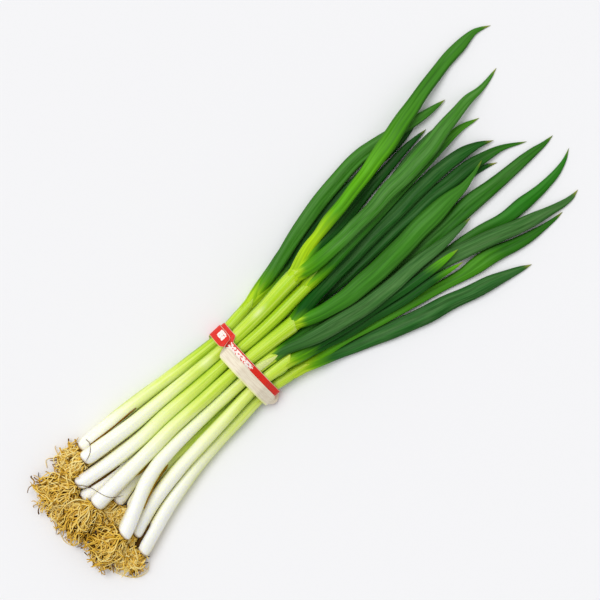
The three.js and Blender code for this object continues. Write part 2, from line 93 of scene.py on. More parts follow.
# Dry-skin strips in the gaps between the shafts, whose dark tones are partly painted shade for the
# seams: their least height, and for each its points [x, y], radius, tone from dark to pale, and
# greatest height
SHADE_HUSK_HEIGHT = 8.5
SHADE_HUSKS = [
    ([[-108, 29.5], [-96, 28.6], [-84, 27.8], [-70, 27]], 0.9, 0.22, 9.8),
    ([[-119, 21.2], [-110, 19.6], [-100, 17.4], [-90, 16], [-80, 15.4]], 0.9, 0.96, 9.8),
    ([[-127, 11], [-118, 9.2], [-110, 8.1], [-102, 7.4]], 1.7, 0.12, 12),
    ([[-104, -2], [-97, -4.8], [-91, -5], [-84, -4.3]], 1.1, 0.42, 10.6),
    ([[-110, -23], [-101, -18.6], [-92, -15.6], [-80, -13.6]], 1.6, 0.34, 10.8),
    ([[-130, -38], [-122, -35.5], [-114, -33]], 1.6, 0.06, 10.4),
]

# Loose rootlets: points [x, y], radius, tone from dark to pale, and least height. They and the
# husks of painted shade belong to the roots of this onion, counted from 0.
STRAYS_WITH = 7
STRAYS = [
    ([[-133, 20], [-127, 12], [-124, 5], [-120, -4], [-114, -8.5]], 0.22, 0.12, 3),
    ([[-107, 34], [-107, 30], [-110, 26], [-116, 23.5]], 0.25, 0.15, 3),
    ([[-154, -33], [-152, -43], [-146, -52], [-138, -55], [-132, -51]], 0.2, 0.8, 0.2),
    ([[-152, -38], [-149, -48], [-142, -54], [-134, -53]], 0.2, 0.9, 0.2),
    ([[-157, -20], [-159, -27], [-156, -34], [-150, -38]], 0.2, 0.8, 0.2),
    ([[-161, 2], [-163, -4], [-161, -10], [-156, -12]], 0.2, 0.75, 0.2),
    ([[-139, 38], [-136, 42], [-132, 40], [-131, 36]], 0.2, 0.7, 0.2),
]

# Rubber band: thickness, stretch along X that it holds, turns, middle of its half twist and half
# that twist's length, height at which it turns back on the side, and spacing of the printed blocks
BAND_THICKNESS = 0.8
BAND_FROM = -9
BAND_TO = 9
BAND_TURNS = 2
BAND_STEPS = 280
TWIST_Y = 16.2
TWIST_REACH = 1.7
TURN_BACK_HEIGHT = 2.6
BLOCK_SPACING = 24

# Where the edges of each turn lie along X: below the bunch, and on top of it at the twist's right
# and left. The over turn lies so much higher.
UNDER_TURN = ((-4, 4.5), (-4, 4.5), (0, 8.5))
OVER_TURN = ((-6, 6), (-8.5, 0), (-4, 5.5))
OVER_LIFT = 0.85

# Camera: the place on the table that it looks down on, the height at which its view is so wide, its
# distance above that, and its turn in degrees
VIEW_MIDDLE = (53.67, 5.95)
VIEW_HEIGHT = 8
VIEW_WIDTH = 384
VIEW_DISTANCE = 1400
VIEW_TURN = -43

# Table in metres: half its width, and how far it lies below the bunch
TABLE_HALF = 4
TABLE_DROP = 0.0001

# Light: the sun's direction, spread in degrees and strength, and the sky's strength
SUN_DIRECTION = (-0.1, 0.7, 1.25)
SUN_SPREAD = 38
SUN_STRENGTH = 1.58
SKY_STRENGTH = 0.56

# The onions, in the order in which they lie on each other, the lowest first.
# shaft: points [x, y] of its axis from the butt to the collar. butt and collar: its radius there.
# rim: how far the sheath's rim slants, towards which angle, and how pale it is.
# swell: how much thicker the shaft is, away from the band, than in the imported model.
# highlights: painted highlights, pale spots on the top of the shaft as (x, y from its axis, half
# length, half width, strength).
# flaps: pointed sheath ends on the shaft, through points [x, angle, half angle].
# ripeness: how much greener the shaft is than most, from -1 to 1.
# leaves: for each its points [x, y, half width], its greens along x, and how waxy it is, which also
# sets how strong its painted sheen is.
# beard: the middle of the far end of the roots, [x, y]. beard_width: half their width.
# USUAL is what an onion has where it doesn't say otherwise.
USUAL = {"swell": 0.1, "marks": [], "flaps": []}
ONIONS = [dict(
    butt=4.8, collar=4.1, rim=(6, 1, 0), ripeness=0.35,
    shaft=[[-118, -18.5], [-100, -14.2], [-80, -12.4], [-60, -12.8], [-30, -12], [0, -11.3],
           [20, -14.8]],
    leaves=[
        ([[20, -14.8, 3.2], [60, -24, 3.8], [100, -31, 4], [140, -36.5, 4], [155, -38.3, 4],
          [170, -41.5, 4], [185, -45, 4.5], [200, -46.5, 4.8], [210, -47.3, 4], [220, -47.5, 3.2],
          [230, -46.7, 2.5], [240, -44, 1.3], [247, -40.5, 0.5]],
         [(20, "lime"), (32, "young"), (48, "grass"), (170, "grass"), (190, "vivid")], 0.15),
    ],
    beard=[-137, -20], beard_width=8,
), dict(
    butt=5, collar=4.2, rim=(5, 2.2, 0), ripeness=0.02,
    shaft=[[-135, 7.5], [-100, 6], [-60, 7], [-30, 10], [0, 12.5], [20, 9], [45, 3]],
    leaves=[
        ([[45, 2.5, 2.6], [100, -7, 3], [150, -9, 3.2], [170, -9.2, 3], [190, -10.2, 2.4],
          [200, -12.8, 1.5], [207, -16, 0.5]],
         [(45, "lime"), (56, "young"), (68, "deep")], 0.15),
        ([[45, 2.5, 3.2], [60, -1.5, 3.6], [100, -3, 4.4], [150, -2.5, 4.8], [170, -4, 4.8],
          [185, -5, 4.8], [200, -6.8, 4], [215, -10.8, 2.2], [230, -19, 0.5]],
         [(45, "lime"), (55, "young"), (66, "deep"), (190, "deep"), (215, "grass")], 0.2),
    ],
    beard=[-158, 15], beard_width=10,
), dict(
    butt=5.2, collar=4.4, rim=(6, 0.4, 0.1), ripeness=0.12,
    shaft=[[-114, 31.5], [-80, 30.5], [-60, 28.8], [-40, 26.5], [-10, 23.8], [0, 23.2], [28, 25.5]],
    leaves=[
        ([[28, 25.5, 2.6], [45, 30.5, 2.8], [60, 35, 2.8], [80, 39, 2.8], [100, 42, 2.5],
          [130, 44.5, 0.5]],
         [(28, "lime"), (44, "young"), (58, "grass")], 0.15),
        ([[28, 25.5, 3], [60, 26.5, 3.6], [90, 33.5, 4], [120, 36.5, 4], [150, 37.3, 4],
          [170, 38, 3.8], [180, 38.8, 2.6], [188, 39.6, 0.5]],
         [(28, "lime"), (46, "young"), (60, "deep")], 0.15),
        ([[28, 25.5, 3.4], [45, 29, 4], [65, 34, 4.6], [85, 39.5, 5], [105, 43.3, 5.2],
          [125, 46, 5.2], [145, 47, 5], [160, 45.3, 4.6], [180, 41, 3.8], [195, 38.3, 2.6],
          [210, 36.5, 0.5]],
         [(28, "lime"), (40, "young"), (52, "mid")], 0.25),
    ],
    beard=[-132, 32], beard_width=6,
), dict(
    butt=5.1, collar=4.2, rim=(6, 2.6, 0), ripeness=-0.03,
    shaft=[[-131, -43], [-115, -38.2], [-100, -33.6], [-80, -29.2], [-60, -25.8], [-30, -23.5],
           [0, -22.2], [25, -26.5]],
    leaves=[
        ([[25, -26.5, 3.2], [40, -32.5, 3.8], [60, -40, 4.6], [80, -47.5, 5.8], [100, -54, 6.2],
          [110, -57, 6.2], [130, -63, 5.5], [150, -69, 5], [162, -73, 3.5], [170, -75.8, 2.3],
          [178.5, -79, 0.5]],
         [(25, "lime"), (35, "young"), (46, "blue")], 0.3),
        ([[25, -26.5, 2.8], [50, -31, 2.8], [70, -36, 2.9], [90, -41, 3.1], [120, -48.5, 3.6],
          [140, -53, 4.2], [152, -55, 5.5], [164, -57.5, 5.6], [180, -62.5, 4.4], [190, -65, 3.5],
          [200, -66.6, 2.2], [210, -67.6, 1.1], [216, -67.8, 0.5]],
         [(25, "lime"), (38, "young"), (52, "fresh"), (156, "fresh"), (172, "grass")], 0.1),
    ],
    beard=[-146, -41.5], beard_width=7.5,
), dict(
    butt=4.8, collar=4.1, rim=(5, 1.8, 0), ripeness=0,
    shaft=[[-121, -8.4], [-100, -4.4], [-80, -3.2], [-60, -2.6], [0, -2.3], [20, -5.4]],
    leaves=[
        ([[20, -5.4, 3.2], [50, -19, 3.8], [80, -27, 4], [110, -33, 4], [125, -35.8, 4.5],
          [140, -38.8, 5.2], [150, -41.8, 5.5], [160, -45, 5.5], [175, -50, 5.5], [190, -55.5, 5],
          [200, -58.8, 4.5], [210, -61.7, 3.3], [220, -64, 2.4], [227, -64.7, 1.5],
          [233, -64, 0.5]],
         [(20, "lime"), (29, "young"), (40, "sage")], 0.4),
    ],
    beard=[-143, -10], beard_width=8,
), dict(
    butt=4.9, collar=4.1, rim=(5.5, 0.6, 0), ripeness=-0.05,
    shaft=[[-126, -31.7], [-115, -28.1], [-100, -23.9], [-80, -20.7], [-60, -19], [-30, -16.7],
           [0, -15.1], [20, -17.2]],
    leaves=[
        ([[20, -17.2, 2.8], [60, -30, 3], [90, -37, 3], [110, -40.5, 3], [130, -44, 2.4],
          [147, -47.5, 0.5]],
         [(20, "lime"), (30, "young"), (42, "deep"), (126, "deep"), (142, "bright")], 0.1),
        ([[20, -17.2, 3], [60, -26, 3.2], [100, -33.5, 3.2], [120, -36, 3], [135, -38, 2.5],
          [150, -39.3, 0.5]],
         [(20, "lime"), (30, "young"), (42, "deep"), (124, "deep"), (140, "bright")], 0.1),
    ],
    beard=[-151, -36], beard_width=10.5,
), dict(
    butt=5.5, collar=3.9, rim=(4, 2.6, 0), ripeness=-0.1,
    flaps=[[[1, 1.55, 0.75], [6, 1.6, 0.7], [12, 1.75, 0.5], [17, 1.9, 0.22], [19.5, 1.95, 0.04]]],
    shaft=[[-131, -27], [-120, -22.5], [-110, -18], [-100, -13.5], [-90, -10.5], [-80, -8.3],
           [-60, -6.9], [0, -7.1], [16, -8.5]],
    leaves=[
        ([[16, -8.5, 3.2], [40, -11, 3.6], [60, -14, 4.2], [100, -20, 5], [130, -22.5, 5.3],
          [150, -23.5, 5.6], [175, -23.5, 6.2], [195, -24.8, 5], [210, -25.7, 4.2],
          [220, -26.3, 3.7], [230, -27, 2.7], [237, -27.6, 1.6], [245, -27.5, 0.5]],
         [(14, "lime"), (19, "young"), (27, "grass")], 0.25),
        ([[16, -8.5, 3.6], [25, -10.5, 4.2], [40, -16, 5], [60, -21, 5.5], [80, -25, 5.5],
          [100, -27, 5], [120, -28, 4.5], [140, -29, 3.7], [150, -30, 2.7], [160, -30.4, 1.8],
          [170, -30, 0.5]],
         [(14, "lime"), (18, "young"), (26, "sage")], 0.4),
    ],
    beard=[-158, -22], beard_width=13,
), dict(
    butt=5.4, collar=5.1, rim=(2.6, 0, 0.12), ripeness=0.09,
    shaft=[[-131.5, -0.5], [-80, 1], [-60, 1.8], [-30, 1.2], [0, 0.8], [20, -0.5], [41, -2.2]],
    leaves=[
        ([[41, -2.2, 3.4], [60, 1, 4], [80, 2, 4.6], [100, 3.5, 4.8], [120, 4.5, 5], [140, 5, 5],
          [160, 6, 5], [180, 5.3, 4.6], [195, 4, 4], [205, 1, 2.4], [215, -4, 0.5]],
         [(39, "lime"), (44, "young"), (54, "deep")], 0.25),
        ([[41, -2.2, 3.8], [50, -6.4, 4.2], [60, -9.8, 4.9], [75, -12.5, 5.8], [90, -13.8, 6.5],
          [110, -14.2, 6.7], [130, -13.5, 6.7], [150, -12.3, 6.7], [160, -12, 6], [170, -12.2, 4.5],
          [180, -12.5, 2.8], [190, -11, 1.4], [200, -8, 0.5]],
         [(39, "lime"), (43, "fresh"), (56, "mid")], 0.12),
    ],
    beard=[-160, -3], beard_width=13,
), dict(
    butt=4.6, collar=4.2, rim=(3.5, 2.4, 0), swell=0.5, ripeness=0.13,
    shaft=[[-131, 16.5], [-100, 12], [-80, 10.4], [-60, 10.5], [-30, 9.4], [0, 8.8], [30, 8.4],
           [60, 9.7]],
    leaves=[
        ([[60, 9.7, 3.6], [72, 11.9, 4.1], [85, 13.6, 3.5], [100, 15, 3], [140, 20, 3.2],
          [170, 25, 2.6], [185, 27, 1.6], [194, 27.5, 0.5]],
         [(62, "lime"), (72, "pale"), (84, "sage")], 0.2),
        ([[60, 9.7, 3.6], [85, 9.4, 3.8], [120, 12, 4], [160, 15, 4], [190, 16.5, 3.2],
          [205, 16.2, 2.2], [218, 13, 0.5]],
         [(60, "lime"), (73, "young"), (86, "grass"), (186, "grass"), (202, "fresh")], 0.2),
    ],
    beard=[-157, 29.5], beard_width=11.5,
), dict(
    butt=5, collar=5.2, rim=(4.5, 2.2, 0), swell=0.25, ripeness=0,
    marks=[(29, 0.8, 5, 1.6, 0.6), (-17, 0.5, 5, 3, 0.55)],
    shaft=[[-117, 25.5], [-80, 20.9], [-60, 19.8], [-30, 17.8], [0, 16.8], [30, 17.3], [62, 19.6]],
    leaves=[
        ([[62, 19.6, 2.8], [80, 21.4, 3], [100, 23.2, 3.6], [120, 25.4, 3.8], [140, 28.2, 3.6],
          [155, 29.8, 3], [170, 31, 2.4], [188, 31, 0.5]],
         [(62, "lime"), (73, "young"), (84, "deep")], 0.2),
        ([[62, 19.6, 3.8], [75, 16.8, 4.4], [95, 15.8, 4.6], [120, 16.7, 4.8], [140, 18, 5.5],
          [160, 19, 6], [180, 21, 6], [200, 24.3, 4.7], [210, 25.4, 4], [220, 26.1, 3.4],
          [230, 26.1, 2.2], [240, 27.3, 1.3], [248, 29, 0.5]],
         [(60, "lime"), (66, "young"), (76, "fresh"), (108, "mid")], 0.4),
        ([[62, 19.6, 3.6], [80, 26.3, 3.2], [90, 28.3, 3.5], [100, 30, 4.3], [120, 33, 4.3],
          [140, 36.5, 4.8], [160, 40.5, 6], [170, 42.7, 6], [185, 46.2, 5.5], [200, 49.5, 4.8],
          [220, 53.3, 4.4], [240, 55.3, 4], [252, 55.8, 2.2], [258, 54.3, 1.3], [264, 51.5, 0.5]],
         [(66, "lime"), (84, "yellow"), (108, "bright"), (142, "bright"), (172, "fresh"),
          (205, "mid")], 0.1),
    ],
    beard=[-139, 24.5], beard_width=6,
)]

# Colours as sRGB out of 255
GREENS = {
    "lime": (182, 222, 24),
    "yellow": (180, 224, 14),
    "pale": (146, 186, 92),
    "young": (96, 166, 8),
    "bright": (96, 178, 4),
    "fresh": (74, 150, 18),
    "vivid": (36, 124, 10),
    "mid": (62, 132, 28),
    "sage": (54, 108, 42),
    "grass": (42, 114, 10),
    "blue": (34, 98, 32),
    "deep": (16, 86, 14),
}
# The leaves' waxy bloom, also used for the painted sheen along their tops
WAX_AND_SHEEN = (134, 178, 112)
SHAFT_COLORS = [
    (0.0, (254, 254, 248)), (0.1, (251, 253, 232)), (0.25, (240, 249, 180)),
    (0.42, (224, 240, 122)), (0.6, (204, 230, 72)), (0.78, (188, 223, 36)), (1.0, (176, 219, 16)),
]
RIPENESS = [(-118, 0), (-90, 0.07), (-60, 0.19), (-40, 0.32), (-15, 0.52), (20, 0.73), (72, 1)]
DRY_TIP = (176, 170, 70)


# Curves and heights


class Curve:
    """Smooth curves through the points [x, value, ...], one for each column after the first."""

    def __init__(self, points):
        table = np.array(points, float)
        self.x = table[:, 0]
        self.values = table[:, 1:]
        order = np.arange(len(self.x))
        before = np.maximum(order - 1, 0)
        after = np.minimum(order + 1, len(self.x) - 1)
        rise = self.values[after] - self.values[before]
        self.slopes = rise / (self.x[after] - self.x[before])[:, None]

    def at(self, x, column=0):
        x = np.clip(np.asarray(x, float), self.x[0], self.x[-1])
        i = np.clip(np.searchsorted(self.x, x) - 1, 0, len(self.x) - 2)
        width = self.x[i + 1] - self.x[i]
        t = (x - self.x[i]) / width
        first, second = self.values[i, column], self.values[i + 1, column]
        straight = first * (1 + 2 * t) * (1 - t) ** 2 + second * t * t * (3 - 2 * t)
        leaning = self.slopes[i, column] * (1 - t) - self.slopes[i + 1, column] * t
        return straight + width * t * (1 - t) * leaning


def mix(a, b, t):
    return a + (b - a) * np.clip(t, 0, 1)


def ease(low, high, value):
    t = np.clip((value - low) / (high - low), 0, 1)
    return t * t * (3 - 2 * t)


def stacked(*parts):
    """The parts as one array, side by side along a new last axis."""
    return np.stack(np.broadcast_arrays(*parts), axis=-1)


def unit(vectors):
    return vectors / np.maximum(np.linalg.norm(vectors, axis=-1, keepdims=True), 1e-6)


def beside(axis):
    """The level direction square to the axis."""
    return np.array([-axis[1], axis[0], 0]) / np.linalg.norm(axis[:2])


class Strand:
    """A shaft or a leaf, with its middle, half width and half height at any x."""

    def __init__(self, points, margin):
        self.path = Curve(points)
        self.start = points[0][0]
        self.end = points[-1][0]
        self.margin = margin
        self.heights = None

    def y(self, x):
        return self.path.at(x)

    def z(self, x):
        return self.heights.at(x)


class Shaft(Strand):
    def __init__(self, onion):
        super().__init__(onion["shaft"], SHAFT_MARGIN)
        self.butt = onion["butt"]
        self.collar = onion["collar"]

    def wide(self, x):
        x = np.asarray(x, float)
        towards_butt = mix(HELD_RADIUS, self.butt, (x / (self.start + BUTT_ROUNDING)) ** 2)
        return np.where(x < 0, towards_butt, mix(HELD_RADIUS, self.collar, x / self.end))

    high = wide


class Leaf(Strand):
    def __init__(self, points, greens, wax_and_sheen):
        super().__init__(points, LEAF_MARGIN)
        self.greens = greens
        self.wax_and_sheen = wax_and_sheen

    def wide(self, x):
        return self.path.at(x, 1)

    def high(self, x):
        flatness = mix(NECK_ROUNDNESS, LEAF_FLATNESS, (x - self.start) / NECK_LENGTH)
        return np.maximum(self.wide(x) * flatness, LEAST_HALF_HEIGHT)


def table_height(x):
    under_band = (x > BAND_FROM - STATION_STEP) & (x < BAND_TO + STATION_STEP)
    return np.where(under_band, BAND_TURNS * BAND_THICKNESS + GAP, 0)


def resting_heights(strand, laid):
    """The lowest heights of the strand's middle that clear the table and the strands in `laid`."""
    x = STATIONS
    heights = table_height(x) + strand.high(x)
    for other, start in laid:
        gap = strand.margin + other.margin
        across = np.abs(strand.y(x) - other.y(x)) / (strand.wide(x) + other.wide(x) + gap)
        rise = strand.high(x) + other.high(x) + gap
        over = other.z(x) + rise * np.sqrt(np.maximum(1 - across**2, 0))
        touching = (x >= start) & (x <= other.end) & (across < 1)
        heights = np.where(touching, np.maximum(heights, over), heights)
    return heights


def drape(needed, collar):
    """Heights nowhere below `needed`, that bend down no faster than a shaft or a leaf can."""
    heights = needed.copy()
    droop = np.where(STATIONS < collar, SHAFT_DROOP, LEAF_DROOP) * STATION_STEP
    count = len(STATIONS)
    for side in (-1, 1):
        for first, top in enumerate(needed):
            if not np.isfinite(top):
                continue
            along = np.arange(first + side, count if side > 0 else -1, side)
            slopes = np.cumsum(droop[along])
            heights[along] = np.maximum(heights[along], top - np.cumsum(slopes) * STATION_STEP)
    for _ in range(SMOOTHING_ROUNDS):
        before = np.concatenate([heights[:1], heights[:-1]])
        after = np.concatenate([heights[1:], heights[-1:]])
        heights = np.maximum(needed, (before + 2 * heights + after) / 4)
    return heights


def height_curve(heights):
    return Curve(np.column_stack([STATIONS, heights]))


def lay_onion(shaft, leaves, laid):
    """Gives the onion's shaft and leaves their heights, above the strands in `laid`."""
    on_shaft = (STATIONS >= shaft.start) & (STATIONS <= shaft.end)
    shaft_needs = np.where(on_shaft, resting_heights(shaft, laid), -np.inf)

    def with_leaf(leaf, needs, under):
        leaf_needs = np.where(STATIONS <= leaf.end, resting_heights(leaf, under), -np.inf)
        return drape(np.where(STATIONS <= shaft.end, needs, leaf_needs), shaft.end)

    profiles = [with_leaf(leaf, shaft_needs, laid) for leaf in leaves]
    shaft_heights = np.max(profiles, axis=0)
    shaft.heights = height_curve(shaft_heights)
    sisters = []
    for leaf in leaves:
        leaf.heights = height_curve(with_leaf(leaf, shaft_heights, laid + sisters))
        sisters.append((leaf, leaf.start + APART_AFTER))
    laid += [(strand, strand.start) for strand in [shaft, *leaves]]


def top_height(x, y, shafts):
    """How high the uppermost shaft's skin is over the point, or 0 where there is none."""
    top = 0.0
    for shaft in shafts:
        if shaft.start < x < shaft.end:
            under = float(shaft.wide(x)) ** 2 - (y - float(shaft.y(x))) ** 2
            if under > 0:
                top = max(top, float(shaft.z(x)) + math.sqrt(under))
    return top


# Meshes


def linear(color):
    """A colour of sRGB values out of 255 as linear values."""
    c = np.asarray(color, float) / 255
    return np.where(c <= 0.04045, c / 12.92, ((c + 0.055) / 1.055) ** 2.4)


class Skin:
    """Points, faces and values at the points, gathered from one or more closed forms."""

    def __init__(self):
        self.points = []
        self.faces = []
        self.values = {}
        self.count = 0

    def add(self, rings, values, loop=False):
        """Adds a closed form through the rings, an array [ring, side, xyz] in mm, flat where it
        would dip into the table. The values are arrays [ring, side] or [ring, side, 3], or
        anything that numpy spreads to the first."""
        count, sides = rings.shape[:2]
        rings = np.maximum(rings, [-np.inf, -np.inf, 0])
        index = np.arange(count * sides).reshape(count, sides) + self.count
        if loop:
            index = np.concatenate([index, index[:1]])
        next_side = np.roll(index, -1, axis=1)
        quads = stacked(index[:-1], next_side[:-1], next_side[1:], index[1:])
        self.faces += quads.reshape(-1, 4).tolist()
        if not loop:
            self.faces += [index[0, ::-1].tolist(), index[-1].tolist()]
        self.points.append(rings.reshape(-1, 3))
        self.count += count * sides
        for name, value in values.items():
            shape = (count, sides) if np.ndim(value) < 3 else (count, sides, 3)
            flat = np.broadcast_to(value, shape).reshape(count * sides, -1)
            self.values.setdefault(name, []).append(flat)

    def piece(self, name, look, nodes, slot):
        """The skin as a piece of the object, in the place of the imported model's nodes."""
        mesh = bpy.data.meshes.new(name)
        points = np.concatenate(self.points) * MM
        mesh.from_pydata(points.tolist(), [], self.faces)
        mesh.polygons.foreach_set("use_smooth", np.ones(len(mesh.polygons), bool))
        for key, parts in self.values.items():
            value = np.concatenate(parts)
            kind, field = ("FLOAT", "value") if value.shape[1] == 1 else ("FLOAT_VECTOR", "vector")
            layer = mesh.attributes.new(key, kind, "POINT")
            layer.data.foreach_set(field, value.ravel())
        mesh.materials.append(look)
        made = placed(name, mesh)
        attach(made, "root")
        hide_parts(*nodes)


def placed(name, data):
    """A new object in the scene."""
    made = bpy.data.objects.new(name, data)
    bpy.context.scene.collection.objects.link(made)
    return made


def waves(x, rng, count, longest, shortest):
    """A smooth wavering of about -1 to 1 along x, with `count` waves of these lengths."""
    total = np.zeros_like(x)
    for _ in range(count):
        length = rng.uniform(shortest, longest)
        total += np.sin(2 * math.pi * (x / length + rng.uniform()))
    return total / math.sqrt(count)


def evenly(start, end, spacing):
    return np.linspace(start, end, max(2, int(round((end - start) / spacing)) + 1))


def round_angles(sides):
    return 2 * math.pi * (np.arange(sides) + 0.5) / sides


# Materials


class Nodes:
    """A short way to write a material's node tree. Colours are sRGB out of 255. Noise follows
    "flow", the places along and around a form in mm and a number that differs between forms."""

    def __init__(self, name):
        self.material = bpy.data.materials.new(name)
        self.material.use_nodes = True
        self.tree = self.material.node_tree
        self.shader = self.tree.nodes["Principled BSDF"]

    def node(self, kind, **settings):
        made = self.tree.nodes.new(kind)
        for key, value in settings.items():
            setattr(made, key, value)
        return made

    def put(self, target, value):
        if isinstance(value, bpy.types.NodeSocket):
            self.tree.links.new(value, target)
        elif target.type == "RGBA":
            target.default_value = (*linear(value), 1)
        else:
            target.default_value = value

    def fed(self, node, values, output=0):
        """The node's output, with the values in its sockets of these numbers or names."""
        for key, value in values.items():
            self.put(node.inputs[key], value)
        return node.outputs[output]

    def attribute(self, name, output="Fac"):
        return self.node("ShaderNodeAttribute", attribute_name=name).outputs[output]

    def math(self, operation, *values, clamp=False):
        node = self.node("ShaderNodeMath", operation=operation, use_clamp=clamp)
        return self.fed(node, dict(enumerate(values)))

    def times(self, a, b):
        return self.math("MULTIPLY", a, b)

    def swing(self, value, share):
        """The value's distance from a half, times the share."""
        return self.times(self.math("SUBTRACT", value, 0.5), share)

    def noise(self, along, around, detail, rough=0.5):
        """Noise with this many waves a mm along and around the form."""
        scaled = self.node("ShaderNodeVectorMath", operation="MULTIPLY")
        place = self.fed(scaled, {0: self.attribute("flow", "Vector"), 1: (along, around, 1)})
        values = {"Vector": place, "Scale": 1, "Detail": detail, "Roughness": rough}
        return self.fed(self.node("ShaderNodeTexNoise"), values, "Fac")

    def range(self, value, from_low, from_high, to_low=0.0, to_high=1.0):
        node = self.node("ShaderNodeMapRange", clamp=True, interpolation_type="SMOOTHSTEP")
        return self.fed(node, dict(enumerate((value, from_low, from_high, to_low, to_high))))

    def ramp(self, value, stops):
        """A colour ramp over stops of (position, colour)."""
        node = self.node("ShaderNodeValToRGB")
        elements = node.color_ramp.elements
        while len(elements) < len(stops):
            elements.new(0.5)
        for element, (position, color) in zip(elements, stops):
            element.position = position
            element.color = (*linear(color), 1)
        return self.fed(node, {0: value}, "Color")

    def blend(self, amount, a, b, kind="MIX"):
        node = self.node("ShaderNodeMix", data_type="RGBA", blend_type=kind)
        return self.fed(node, {0: amount, 6: a, 7: b}, 2)

    def bump(self, height, distance, strength, under=None):
        values = {"Height": height, "Distance": distance * MM, "Strength": strength}
        if under is not None:
            values["Normal"] = under
        return self.fed(self.node("ShaderNodeBump"), values, "Normal")

    def shade(self, **values):
        for key, value in values.items():
            self.put(self.shader.inputs[key.replace("_", " ")], value)


def shaft_material():
    n = Nodes("shaft")
    ripe = n.attribute("ripe")
    veins = n.noise(0.012, 1.5, detail=3)
    bands = n.noise(0.018, 0.36, detail=2)
    clouds = n.noise(0.07, 0.3, detail=2)
    shift = n.math("ADD", n.swing(bands, 0.55), n.swing(clouds, 0.2))
    place = n.math("ADD", ripe, n.times(shift, n.range(ripe, 0.05, 0.5)), clamp=True)
    skin = n.ramp(place, SHAFT_COLORS)
    dark_veins = n.times(n.range(veins, 0.5, 0.7), n.range(ripe, 0.15, 0.8, 0.03, 0.55))
    veined = n.blend(dark_veins, skin, (142, 186, 24))
    pale_veins = n.times(n.range(veins, 0.5, 0.32), n.range(ripe, 0.2, 0.8, 0.1, 0.4))
    streaked = n.blend(pale_veins, veined, (232, 244, 140))
    # Paler where the pale attribute is set: the pale sheath rim, and painted highlights in spots on
    # top of the shaft.
    paled_and_highlighted = n.blend(n.attribute("pale"), streaked, (240, 248, 186))
    # Flank colours: the shaft's sides turn greener and darker, partly their own colour and partly
    # painted shade in the seams between the shafts.
    seam_tint_and_shade = n.ramp(ripe, [
        (0.0, (228, 216, 166)), (0.06, (224, 224, 130)), (0.18, (208, 224, 66)),
        (0.4, (168, 202, 16)), (0.65, (122, 170, 4)), (0.9, (44, 104, 4)),
    ])
    between = n.blend(n.times(n.attribute("flank"), 0.9), paled_and_highlighted, seam_tint_and_shade)
    browned = n.blend(n.attribute("soil"), between, (168, 130, 62))
    n.shade(
        Base_Color=browned,
        Roughness=0.36,
        Specular_IOR_Level=0.3,
        Subsurface_Weight=0.3,
        Subsurface_Radius=(1.0, 1.0, 0.35),
        Subsurface_Scale=0.004,
        Normal=n.bump(veins, 0.12, 0.5),
    )
    return n.material


def leaf_material():
    n = Nodes("leaf")
    green = n.attribute("green", "Color")
    veins = n.noise(0.01, 2.2, detail=3)
    broad = n.noise(0.012, 0.5, detail=2)
    mottle = n.noise(0.05, 1.0, detail=4, rough=0.6)
    shade = n.range(broad, 0.35, 0.68, 0.0, 0.5)
    darker = n.blend(shade, green, (120, 150, 110), "MULTIPLY")
    lined = n.blend(n.range(veins, 0.5, 0.72, 0.0, 0.25), darker, (110, 160, 70), "SCREEN")
    waxy = n.times(n.attribute("bloom"), n.range(mottle, 0.38, 0.66))
    n.shade(
        Base_Color=n.blend(waxy, n.blend(0.4, darker, lined), WAX_AND_SHEEN),
        Roughness=n.range(mottle, 0.3, 0.7, 0.38, 0.5),
        Specular_IOR_Level=0.1,
        Normal=n.bump(veins, 0.1, 0.5),
    )
    return n.material


def root_material():
    n = Nodes("root")
    fibre = n.noise(0.35, 1.6, detail=3)
    tone = n.math("ADD", n.attribute("tone"), n.swing(fibre, 0.3))
    color = n.ramp(tone, [
        (0.0, (44, 26, 2)), (0.2, (118, 80, 10)), (0.42, (212, 164, 44)), (0.7, (246, 208, 92)),
        (1.0, (255, 238, 164)),
    ])
    n.shade(Base_Color=color, Roughness=0.7, Specular_IOR_Level=0.1, Normal=n.bump(fibre, 0.1, 0.5))
    return n.material


def band_material():
    n = Nodes("band")
    grain = n.noise(1.0, 1.0, detail=4, rough=0.6)
    folds = n.noise(1.1, 0.12, detail=3)
    flecks = n.noise(0.8, 0.55, detail=1)
    red = n.blend(n.range(grain, 0.35, 0.75), (232, 42, 18), (206, 26, 20))
    limit = n.range(n.attribute("print"), 0.0, 1.0, 0.9, 0.1)
    white = n.math("MULTIPLY", n.math("SUBTRACT", flecks, limit), 14, clamp=True)
    printed = n.blend(white, red, (250, 240, 232))
    cream = n.blend(n.range(folds, 0.4, 0.62), (244, 234, 210), (232, 218, 194))
    rimmed = n.blend(n.attribute("rim"), cream, (238, 240, 172))
    n.shade(
        Base_Color=n.blend(n.attribute("cream"), printed, rimmed),
        Roughness=0.5,
        Specular_IOR_Level=0.3,
        Normal=n.bump(folds, 0.3, 0.5, under=n.bump(grain, 0.08, 0.3)),
    )
    return n.material


# Shafts and leaves


